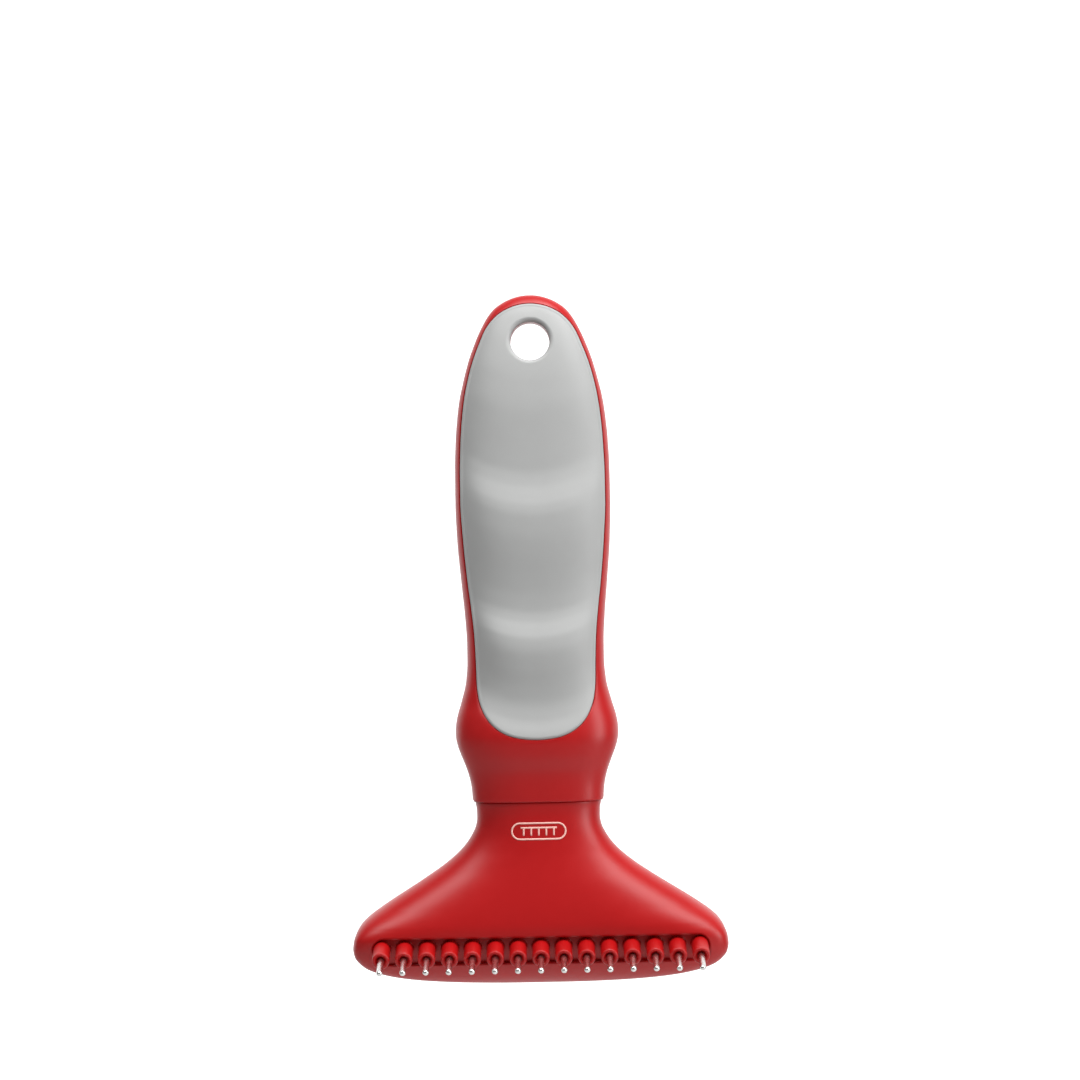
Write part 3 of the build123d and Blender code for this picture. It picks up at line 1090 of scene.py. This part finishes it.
        skin.patch(len(outer) - 1, self.pad_rows, crown)
        hole_drop = self.pad_hole_round + self.pad_hole_wall
        toward = [-Vector(point).normalized() for point in ring]
        hole_lip = lip(self.pad_hole_round, hole_drop, steps=8)
        skin.wall(Side.FRONT, ring, toward, hole_lip, self.pad_surface)
        outward = [-normal for normal in self.pad_inward]
        edge_lip = lip(self.pad_edge_round, self.pad_edge_round, steps=7)[:-1]
        skin.wall(Side.FRONT, run, outward, edge_lip, self.pad_surface)
        top, bottom = [], []
        for near, (x, z) in zip(run, moved(run, outward, self.pad_edge_round)):
            high = self.pad_surface(*near) - self.pad_edge_round
            low = min(high, self.surface(*near, Side.FRONT) - self.pad_under)
            top.append(Vector((x, -high, z)))
            bottom.append(Vector((x, -low, z)))
        skin.bridge(top, bottom, rows=2)
        skin.fill(bottom[: split + 1], columns)
        corner = bottom[split]
        under = [Vector((corner.x * k / columns, corner.y, corner.z)) for k in range(columns)]
        under += bottom[split:]
        hole = self.hole_chain(self.hole_radius, columns)
        tube_end = [Vector((x, -self.pad_hole_end, z)) for x, z in hole]
        skin.bridge(tube_end, under, rows=8)
        mouth = [
            Vector((x, hole_drop - self.pad_surface(*near), z)) for (x, z), near in zip(hole, ring)
        ]
        skin.bridge(mouth, tube_end, rows=3)
        return dress(skin.finish("finger_pad_soft"), self.grey, Slot.GREY, BODY, ("finger_pad",))

    def thumb_pad(self) -> bpy.types.Object:
        """The soft oval on the palm side, with shallow thumb ribs."""
        skin = Skin()
        edge = resample(self.thumb_outline, self.thumb_steps)
        inward = inward_normals(edge)
        run = moved(edge, inward, self.thumb_round)
        run[0], run[-1] = (0.0, run[0][1]), (0.0, run[-1][1])

        def oval(column: int, share: float) -> Vector:
            """The ribbed surface."""
            x, z = run[column][0] * (1 - share), run[column][1]
            return Vector((x, self.thumb_surface(x, z), z))

        skin.patch(len(run) - 1, self.rows, oval)
        outward = [-normal for normal in inward]
        edge_lip = lip(self.thumb_round, self.thumb_drop, steps=6)
        skin.wall(Side.BACK, run, outward, edge_lip, self.thumb_surface)
        rim = moved(run, outward, self.thumb_round)
        bottom = [
            Vector((x, self.thumb_surface(*near) - self.thumb_drop, z))
            for (x, z), near in zip(rim, run)
        ]
        skin.fill(bottom, rows=5)
        return dress(skin.finish("thumb_pad_soft"), self.grey, Slot.GREY, BODY, ("thumb_pad",))


# ---------------------------------------------------------------- head
@dataclass
class Head:
    """The flared head: front shell with the recess, back cover and the mark on the neck."""

    red: bpy.types.Material
    ink: bpy.types.Material
    top_z: float = -91.6
    bottom_z: float = -128.0
    rounding_z: float = -116.0
    edge_round: float = 0.3
    seam_depth: float = 0.16
    seam_fade: float = 2.0
    side_z: float = -125.0
    shoulder_z: float = -116.2
    window_half: float = 33.3
    window_top: float = -118.2
    window_bottom: float = -123.2
    window_corner: float = 2.2
    window_foot: float = 1.2
    window_split: float = 9.5
    window_steps: int = 12
    window_round: float = 0.45
    window_floor: float = 6.4
    least_wall: float = 0.2
    side_steps: int = 70
    corner_steps: int = 30
    shoulder_steps: int = 90
    end_steps: int = 24
    rows: int = 44
    inside_rows: int = 24
    mark_z: float = -97.3
    mark_half_x: float = 5.5
    mark_half_z: float = 1.75
    mark_line: float = 0.34
    mark_steps: int = 160
    teeth: tuple = (-3.0, -1.5, 0.0, 1.5, 3.0)
    tooth_length: float = 1.55
    tooth_drop: float = 0.1
    spine_length: float = 7.2
    spine_rise: float = 0.68
    ink_lift: float = 0.012
    ink_thickness: float = 0.03
    half_width: Table = (
        (-91.6, 12.63), (-93.2, 12.33), (-94.8, 12.3), (-96.4, 12.55), (-98.0, 13.25),
        (-99.6, 14.25), (-101.2, 15.6), (-102.8, 17.35), (-104.4, 19.4), (-106.0, 21.75),
        (-107.6, 24.2), (-109.2, 26.75), (-110.8, 29.3), (-112.4, 31.7), (-114.0, 33.9),
        (-115.6, 35.6), (-117.2, 36.65), (-118.8, 37.2), (-120.4, 37.4), (-122.0, 37.1),
        (-123.1, 36.35), (-124.4, 34.8), (-125.2, 33.0), (-126.1, 29.8), (-126.8, 25.7),
        (-127.4, 19.5), (-127.8, 11.5), (-128.0, 0.0),
    )
    front: Table = (
        (-91.6, 7.5), (-94.6, 7.3), (-97.6, 7.3), (-101.0, 7.6), (-104.5, 8.15), (-108.5, 8.85),
        (-112.5, 9.45), (-116.0, 9.8),
    )
    back: Table = (
        (-91.6, 7.6), (-94.6, 7.4), (-97.6, 7.3), (-104.5, 7.4), (-108.5, 7.7), (-112.5, 8.0),
        (-116.0, 8.2),
    )
    power: Table = (
        (-91.6, 2.5), (-97.6, 2.4), (-101.0, 2.35), (-104.5, 2.4), (-108.5, 2.7), (-112.5, 3.3),
        (-116.0, 4.8), (-119.0, 6.6), (-128.0, 6.6),
    )

    def __post_init__(self) -> None:
        """Makes the profiles and the chains that the patches share."""
        self.width = Profile(self.half_width, ROUND_ENDS)
        self.depths = {Side.FRONT: Profile(self.front), Side.BACK: Profile(self.back)}
        self.powers = Profile(self.power)
        side = [
            (x - self.inset(z), z)
            for x, z in outline(self.width, self.bottom_z, self.top_z, steps=900)
        ]
        self.outer = chain(
            (cut(side, self.bottom_z, self.side_z), self.side_steps),
            (cut(side, self.side_z, self.shoulder_z), self.corner_steps),
            (cut(side, self.shoulder_z, self.top_z), self.shoulder_steps),
        ) + eased((0.0, self.top_z), side[-1], self.end_steps)[-2::-1]
        half, low, high = self.window_half, self.window_bottom, self.window_top
        foot, corner, split = self.window_foot, self.window_corner, self.window_split
        turn = quarter(self.window_steps)
        right = [(half - foot + foot * math.sin(a), low + foot - foot * math.cos(a)) for a in turn]
        right += [
            (half - corner + corner * math.cos(a), high - corner + corner * math.sin(a))
            for a in turn
        ]
        self.window = chain(
            ([(0.0, low), right[0]], self.side_steps),
            (right, self.corner_steps),
            ([right[-1], (split, high)], self.shoulder_steps),
            ([(split, high), (0.0, high)], self.end_steps),
        )

    def inset(self, z: float) -> float:
        """How far the rounding of the neck's end takes the surface in at height z."""
        end = max(0.0, z - self.top_z + self.edge_round)
        return self.edge_round - math.sqrt(max(self.edge_round**2 - end**2, 0.0))

    def surface(self, x: float, z: float, side: Side) -> float:
        """Depth of the head's surface from the parting plane.

        Args:
            x: Distance from the middle.
            z: Height.
            side: Front or back.

        Returns:
            The depth, never under 0.
        """
        depth = self.depths[side](max(z, self.rounding_z))
        if z < self.rounding_z:
            sunk = min((self.rounding_z - z) / (self.rounding_z - self.bottom_z), 1.0)
            depth *= math.sqrt(1 - sunk * sunk)
        power = self.powers(z)
        ratio = min(abs(x) / max(self.width(z) - self.inset(z), TINY), 1.0)
        return max(depth - self.inset(z), 0.0) * (1 - ratio**power) ** (1 / power)

    def _lay_outside(self, skin: Skin, side: Side, inner: list[Point]) -> None:
        """The surface from the recess's edge out to the parting line and the neck's end.

        Args:
            skin: The mesh.
            side: Front or back.
            inner: The recess's edge.
        """
        flat_from = len(self.outer) - self.end_steps
        pull = inward_normals(self.outer)

        def place(column: int, share: float) -> Vector:
            """A point of the surface, or of the groove at the parting line."""
            a, b = inner[column], self.outer[column]
            follow = smooth((column - self.side_steps) / self.corner_steps)
            x, z = across(a, b, math.sin(share * math.pi / 2), self.width, follow)
            if share < 1 - TINY or column >= flat_from:
                return Vector((x, side.value * self.surface(x, z, side), z))
            away = pull[column] * self.seam_depth * smooth((self.top_z - z) / self.seam_fade)
            return Vector((max(x + away.x, 0.0), 0.0, z + away.y))

        skin.patch(len(inner) - 1, self.rows, place)
        neck = self.outer[flat_from - 1 :]
        edge = [Vector((x, side.value * self.surface(x, z, side), z)) for x, z in neck]
        skin.fill(edge, rows=6, axis=1)

    def shells(self) -> bpy.types.Object:
        """Front shell and back cover as one shape with a groove at the parting line."""
        skin = Skin()
        inward = inward_normals(self.window)
        rim = moved(self.window, inward, -self.window_round)
        self._lay_outside(skin, Side.FRONT, rim)
        front = partial(self.surface, side=Side.FRONT)
        skin.wall(Side.FRONT, rim, inward, lip(self.window_round, self.window_round)[:-1], front)
        edge, floor = [], []
        for near, (x, z) in zip(rim, moved(rim, inward, self.window_round)):
            depth = front(*near) - self.window_round
            edge.append(Vector((x, -depth, z)))
            floor.append(Vector((x, -min(self.window_floor, depth - self.least_wall), z)))
        skin.bridge(edge, floor, rows=1)
        middle_z = (self.window_top + self.window_bottom) / 2
        middle = [Vector((0.0, -self.window_floor, middle_z))] * len(floor)
        skin.bridge(floor, middle, rows=4)
        self._lay_outside(skin, Side.BACK, rim)

        def inside(column: int, share: float) -> Vector:
            """The back surface behind the recess."""
            x, z = between(rim[column], (0.0, middle_z), share)
            return Vector((x, self.surface(x, z, Side.BACK), z))

        skin.patch(len(rim) - 1, self.inside_rows, inside)
        nodes = ("head_front_shell", "head_back_cover")
        return dress(skin.finish("head_shell"), self.red, Slot.RED, BODY, nodes)

    def _pill(self) -> list[Point]:
        """Points at equal steps round the mark's frame, straight-sided with round ends."""
        turn = [math.pi * k / 24 for k in range(25)]
        high, flat = self.mark_half_z, self.mark_half_x - self.mark_half_z
        right = [(flat + high * math.sin(a), -high * math.cos(a)) for a in turn]
        left = [(-flat - high * math.sin(a), high * math.cos(a)) for a in turn]
        return resample([*right, *left, right[0]], self.mark_steps)[:-1]

    def _frame(self) -> bmesh.types.BMesh:
        """The mark's flat frame."""
        ring = bmesh.new()
        bmesh.ops.create_circle(ring, segments=self.mark_steps, radius=1.0)
        for vert, (x, z) in zip(ring.verts, self._pill()):
            vert.co = (x, 0.0, z)
        rim = set(ring.verts)
        bmesh.ops.extrude_edge_only(ring, edges=ring.edges[:])
        for vert in [vert for vert in ring.verts if vert not in rim]:
            x, z = vert.co.x, vert.co.z
            corner = math.copysign(min(abs(x), self.mark_half_x - self.mark_half_z), x)
            away = Vector((x - corner, z)).normalized() * (self.mark_half_z - self.mark_line)
            vert.co = (corner + away.x, 0.0, away.y)
        return ring

    def _stroke(self, size: Point, centre: Point, cuts: tuple[int, int]) -> bmesh.types.BMesh:
        """A flat upright bar of the mark.

        Args:
            size: Its width and height.
            centre: Where it stands in the mark.
            cuts: Its faces across and up.

        Returns:
            The mesh.
        """
        bar = bmesh.new()
        bmesh.ops.create_grid(bar, x_segments=cuts[0], y_segments=cuts[1], size=0.5)
        bmesh.ops.scale(bar, vec=(*size, 1), verts=bar.verts)
        bmesh.ops.rotate(bar, matrix=Matrix.Rotation(math.pi / 2, 3, "X"), verts=bar.verts)
        bmesh.ops.translate(bar, vec=(centre[0], 0, centre[1]), verts=bar.verts)
        return bar

    def mark(self) -> bpy.types.Object:
        """A plain printed badge on the neck: a rounded frame with a little comb in it."""
        line = self.mark_line
        strokes = [self._frame()]
        for x in self.teeth:
            strokes.append(self._stroke((line, self.tooth_length), (x, -self.tooth_drop), (1, 5)))
        strokes.append(self._stroke((self.spine_length, line), (0.0, self.spine_rise), (24, 1)))
        whole = join(strokes)
        for vert in whole.verts:
            vert.co.z += self.mark_z
            vert.co.y = -self.surface(vert.co.x, vert.co.z, Side.FRONT) - self.ink_lift
        bmesh.ops.recalc_face_normals(whole, faces=whole.faces)
        bmesh.ops.solidify(whole, geom=whole.faces[:], thickness=self.ink_thickness)
        return dress(to_object(whole, "neck_mark"), self.ink, Slot.RED, BODY)


# ---------------------------------------------------------------- pins and their carrier
@dataclass
class PinRow:
    """The bar of hollow bosses and the steel pins that turn in them."""

    red: bpy.types.Material
    steel: bpy.types.Material
    count: int = 15
    pitch: float = 4.5
    tilt: float = 12.5
    root: tuple = (0.0, -7.7, -120.2)
    boss_radius: float = 1.7
    boss_length: float = 7.4
    boss_root: float = -1.0
    foot_round: float = 0.35
    foot_sunk: float = 0.05
    mouth_round: float = 0.34
    sink_radius: float = 1.22
    sink_depth: float = 0.7
    sink_round: float = 0.12
    bore_radius: float = 0.66
    bore_round: float = 0.06
    bore_end: float = 1.0
    boss_steps: int = 40
    pin_radius: float = 0.6
    pin_reach: float = 15.1
    pin_steps: int = 28
    shaft_rings: tuple = (2.0, 6.0)
    flange_radius: float = 1.05
    flange_low: float = -2.3
    flange_high: float = -1.65
    flange_round: float = 0.15
    bar_half: float = 33.0
    bar_height: float = 6.4
    bar_drop: float = 0.35
    bar_depth: float = 2.2
    bar_sunk: float = 0.4
    bar_bevel: float = 0.2

    def frame_of(self, x: float) -> Matrix:
        """Where a pin's own frame stands, its Z along the pin."""
        turn = Matrix.Rotation(math.radians(90 + self.tilt), 4, "X")
        return Matrix.Translation((x, self.root[1], self.root[2])) @ turn

    def places(self) -> list[float]:
        """X of each pin."""
        return [(i - (self.count - 1) / 2) * self.pitch for i in range(self.count)]

    def _bar(self) -> bmesh.types.BMesh:
        """The bevelled bar at the bottom of the recess."""
        bar = bmesh.new()
        bmesh.ops.create_cube(bar, size=1.0)
        size = (2 * self.bar_half, self.bar_height, self.bar_depth)
        bmesh.ops.scale(bar, vec=size, verts=bar.verts)
        move = (0, -self.bar_drop, -self.bar_depth / 2 - self.bar_sunk)
        bmesh.ops.translate(bar, vec=move, verts=bar.verts)
        bmesh.ops.bevel(
            bar, geom=bar.edges[:], offset=self.bar_bevel, segments=3, affect="EDGES",
            profile=0.5, material=-1,
        )
        bmesh.ops.transform(bar, matrix=self.frame_of(0.0), verts=bar.verts)
        return bar

    def carrier(self) -> bpy.types.Object:
        """Bar and bosses, each boss with a rounded foot, a lip and a sunk mouth."""
        length, radius, fillet = self.boss_length, self.boss_radius, self.foot_round
        low = self.bar_sunk + self.foot_sunk
        foot = [
            (radius + fillet * (1 - math.sin(a)), fillet * (1 - math.cos(a)) - low)
            for a in quarter(6)
        ]
        mouth = rounded([
            foot[-1] + (0,),
            (radius, length, self.mouth_round),
            (self.sink_radius, length, self.sink_round),
            (self.bore_radius, length - self.sink_depth, self.bore_round),
            (self.bore_radius, self.bore_end, 0),
        ])
        root = [(0.0, self.boss_root), (foot[0][0], self.boss_root)]
        profile = [*root, *foot, *mouth[1:], (0.0, self.bore_end)]
        bosses = [lathe(profile, self.boss_steps, self.frame_of(x)) for x in self.places()]
        piece = to_object(join([self._bar(), *bosses]), "pin_carrier_bar")
        return dress(piece, self.red, Slot.RED, BODY, ("pin_carrier", "pin_retainer"))

    def pins(self) -> list[bpy.types.Object]:
        """One round-nosed pin per boss, each on its own body."""
        radius, reach = self.pin_radius, self.pin_reach
        nose = [
            (radius * math.cos(a), reach - radius + radius * math.sin(a))
            for a in quarter(7)[:-1]
        ] + [(0.0, reach)]
        flange = rounded([
            (0.0, self.flange_low, 0),
            (self.flange_radius, self.flange_low, self.flange_round),
            (self.flange_radius, self.flange_high, self.flange_round),
            (radius, self.flange_high, 0),
        ])
        profile = flange + [(radius, z) for z in self.shaft_rings] + nose
        out = []
        for number, x in enumerate(self.places(), start=1):
            name = f"pin_{number:02d}"
            piece = to_object(lathe(profile, self.pin_steps, self.frame_of(x)), f"steel_{name}")
            out.append(dress(piece, self.steel, Slot.STEEL, f"turning_{name}", (name,)))
        return out


# ---------------------------------------------------------------- studio
@dataclass(frozen=True)
class SoftBox:
    """One soft area light, in metres, aimed at a point."""

    name: str
    place: tuple
    aim: tuple
    size: tuple
    watts: float
    colour: tuple = (1.0, 1.0, 1.0)

    def build(self) -> bpy.types.Object:
        """Makes the light."""
        data = bpy.data.lights.new(self.name, "AREA")
        data.shape, data.size, data.size_y = "RECTANGLE", *self.size
        data.energy, data.color = self.watts, self.colour
        light = bpy.data.objects.new(self.name, data)
        bpy.context.scene.collection.objects.link(light)
        light.location = self.place
        light.rotation_euler = (
            (Vector(self.aim) - Vector(self.place)).to_track_quat("-Z", "Y").to_euler()
        )
        return light


@dataclass
class Studio:
    """Pale sweep of paper, lights, surroundings and camera, in metres."""

    camera_place: tuple = (0.0013, -0.8, -0.0396)
    camera_roll: float = math.radians(1.05)
    lens: float = 133.3
    sensor: float = 36.0
    clip: tuple = (0.01, 50.0)
    floor_z: float = -0.45
    wall_y: float = 1.3
    bend: float = 0.45
    half_width: float = 2.6
    near_y: float = -2.4
    wall_top: float = 2.2
    world_strength: float = 0.20
    boxes: tuple = (
        SoftBox("top_light", (0.05, -0.15, 0.60), (0.0, 0.0, -0.06), (0.40, 0.22), 4.2),
        SoftBox("high_left", (-0.42, -0.42, 0.58), (0.0, 0.0, -0.08), (0.40, 0.36), 3.0),
        SoftBox("high_right", (0.45, -0.42, 0.58), (0.0, 0.0, -0.08), (0.46, 0.40), 4.2),
        SoftBox("side_right", (0.65, -0.33, 0.02), (0.0, 0.0, -0.07), (0.24, 0.60), 2.9),
    )

    def _sweep(self) -> bpy.types.Object:
        """The paper: a floor that bends up into a wall behind the object."""
        run = rounded(
            [(self.near_y, self.floor_z, 0), (self.wall_y, self.floor_z, self.bend),
             (self.wall_y, self.wall_top, 0)], steps=24,
        )
        bm = bmesh.new()
        made = bmesh.ops.create_grid(bm, x_segments=8, y_segments=len(run) - 1, size=0.5)
        for vert in made["verts"]:
            y, z = run[round((vert.co.y + 0.5) * (len(run) - 1))]
            vert.co = (vert.co.x * 2 * self.half_width, y, z)
        for face in bm.faces:
            face.smooth = True
        mesh = bpy.data.meshes.new("paper_sweep")
        bm.to_mesh(mesh)
        bm.free()
        mesh.materials.append(StudioPaper().build())
        paper = bpy.data.objects.new("paper_sweep", mesh)
        bpy.context.scene.collection.objects.link(paper)
        return paper

    def build(self) -> None:
        """Makes the whole studio."""
        scene = bpy.context.scene
        scene.view_settings.view_transform = "Standard"
        self._sweep()
        for box in self.boxes:
            box.build()
        world = bpy.data.worlds.new("surroundings")
        world.use_nodes = True
        backdrop = world.node_tree.nodes["Background"]
        backdrop.inputs["Color"].default_value = (1.0, 1.0, 1.0, 1.0)
        backdrop.inputs["Strength"].default_value = self.world_strength
        scene.world = world
        data = bpy.data.cameras.new("camera")
        data.lens, data.sensor_width = self.lens, self.sensor
        data.clip_start, data.clip_end = self.clip
        camera = bpy.data.objects.new("camera", data)
        scene.collection.objects.link(camera)
        camera.location = self.camera_place
        camera.rotation_euler = (math.pi / 2, self.camera_roll, 0.0)
        scene.camera = camera


def main() -> None:
    """Builds every piece, then the studio."""
    logging.basicConfig(level=logging.INFO, format="%(message)s")
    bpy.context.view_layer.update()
    red, grey = MouldedPlastic().build(), SoftRubber().build()
    handle = Handle(red, grey)
    for build in (handle.body, handle.finger_pad, handle.thumb_pad):
        log.info("made %s", build().name)
    head = Head(red, PrintedInk().build())
    for build in (head.shells, head.mark):
        log.info("made %s", build().name)
    row = PinRow(red, PolishedSteel().build())
    log.info("made %s", row.carrier().name)
    log.info("made %d pins", len(row.pins()))
    Studio().build()


if __name__ == "__main__":
    main()
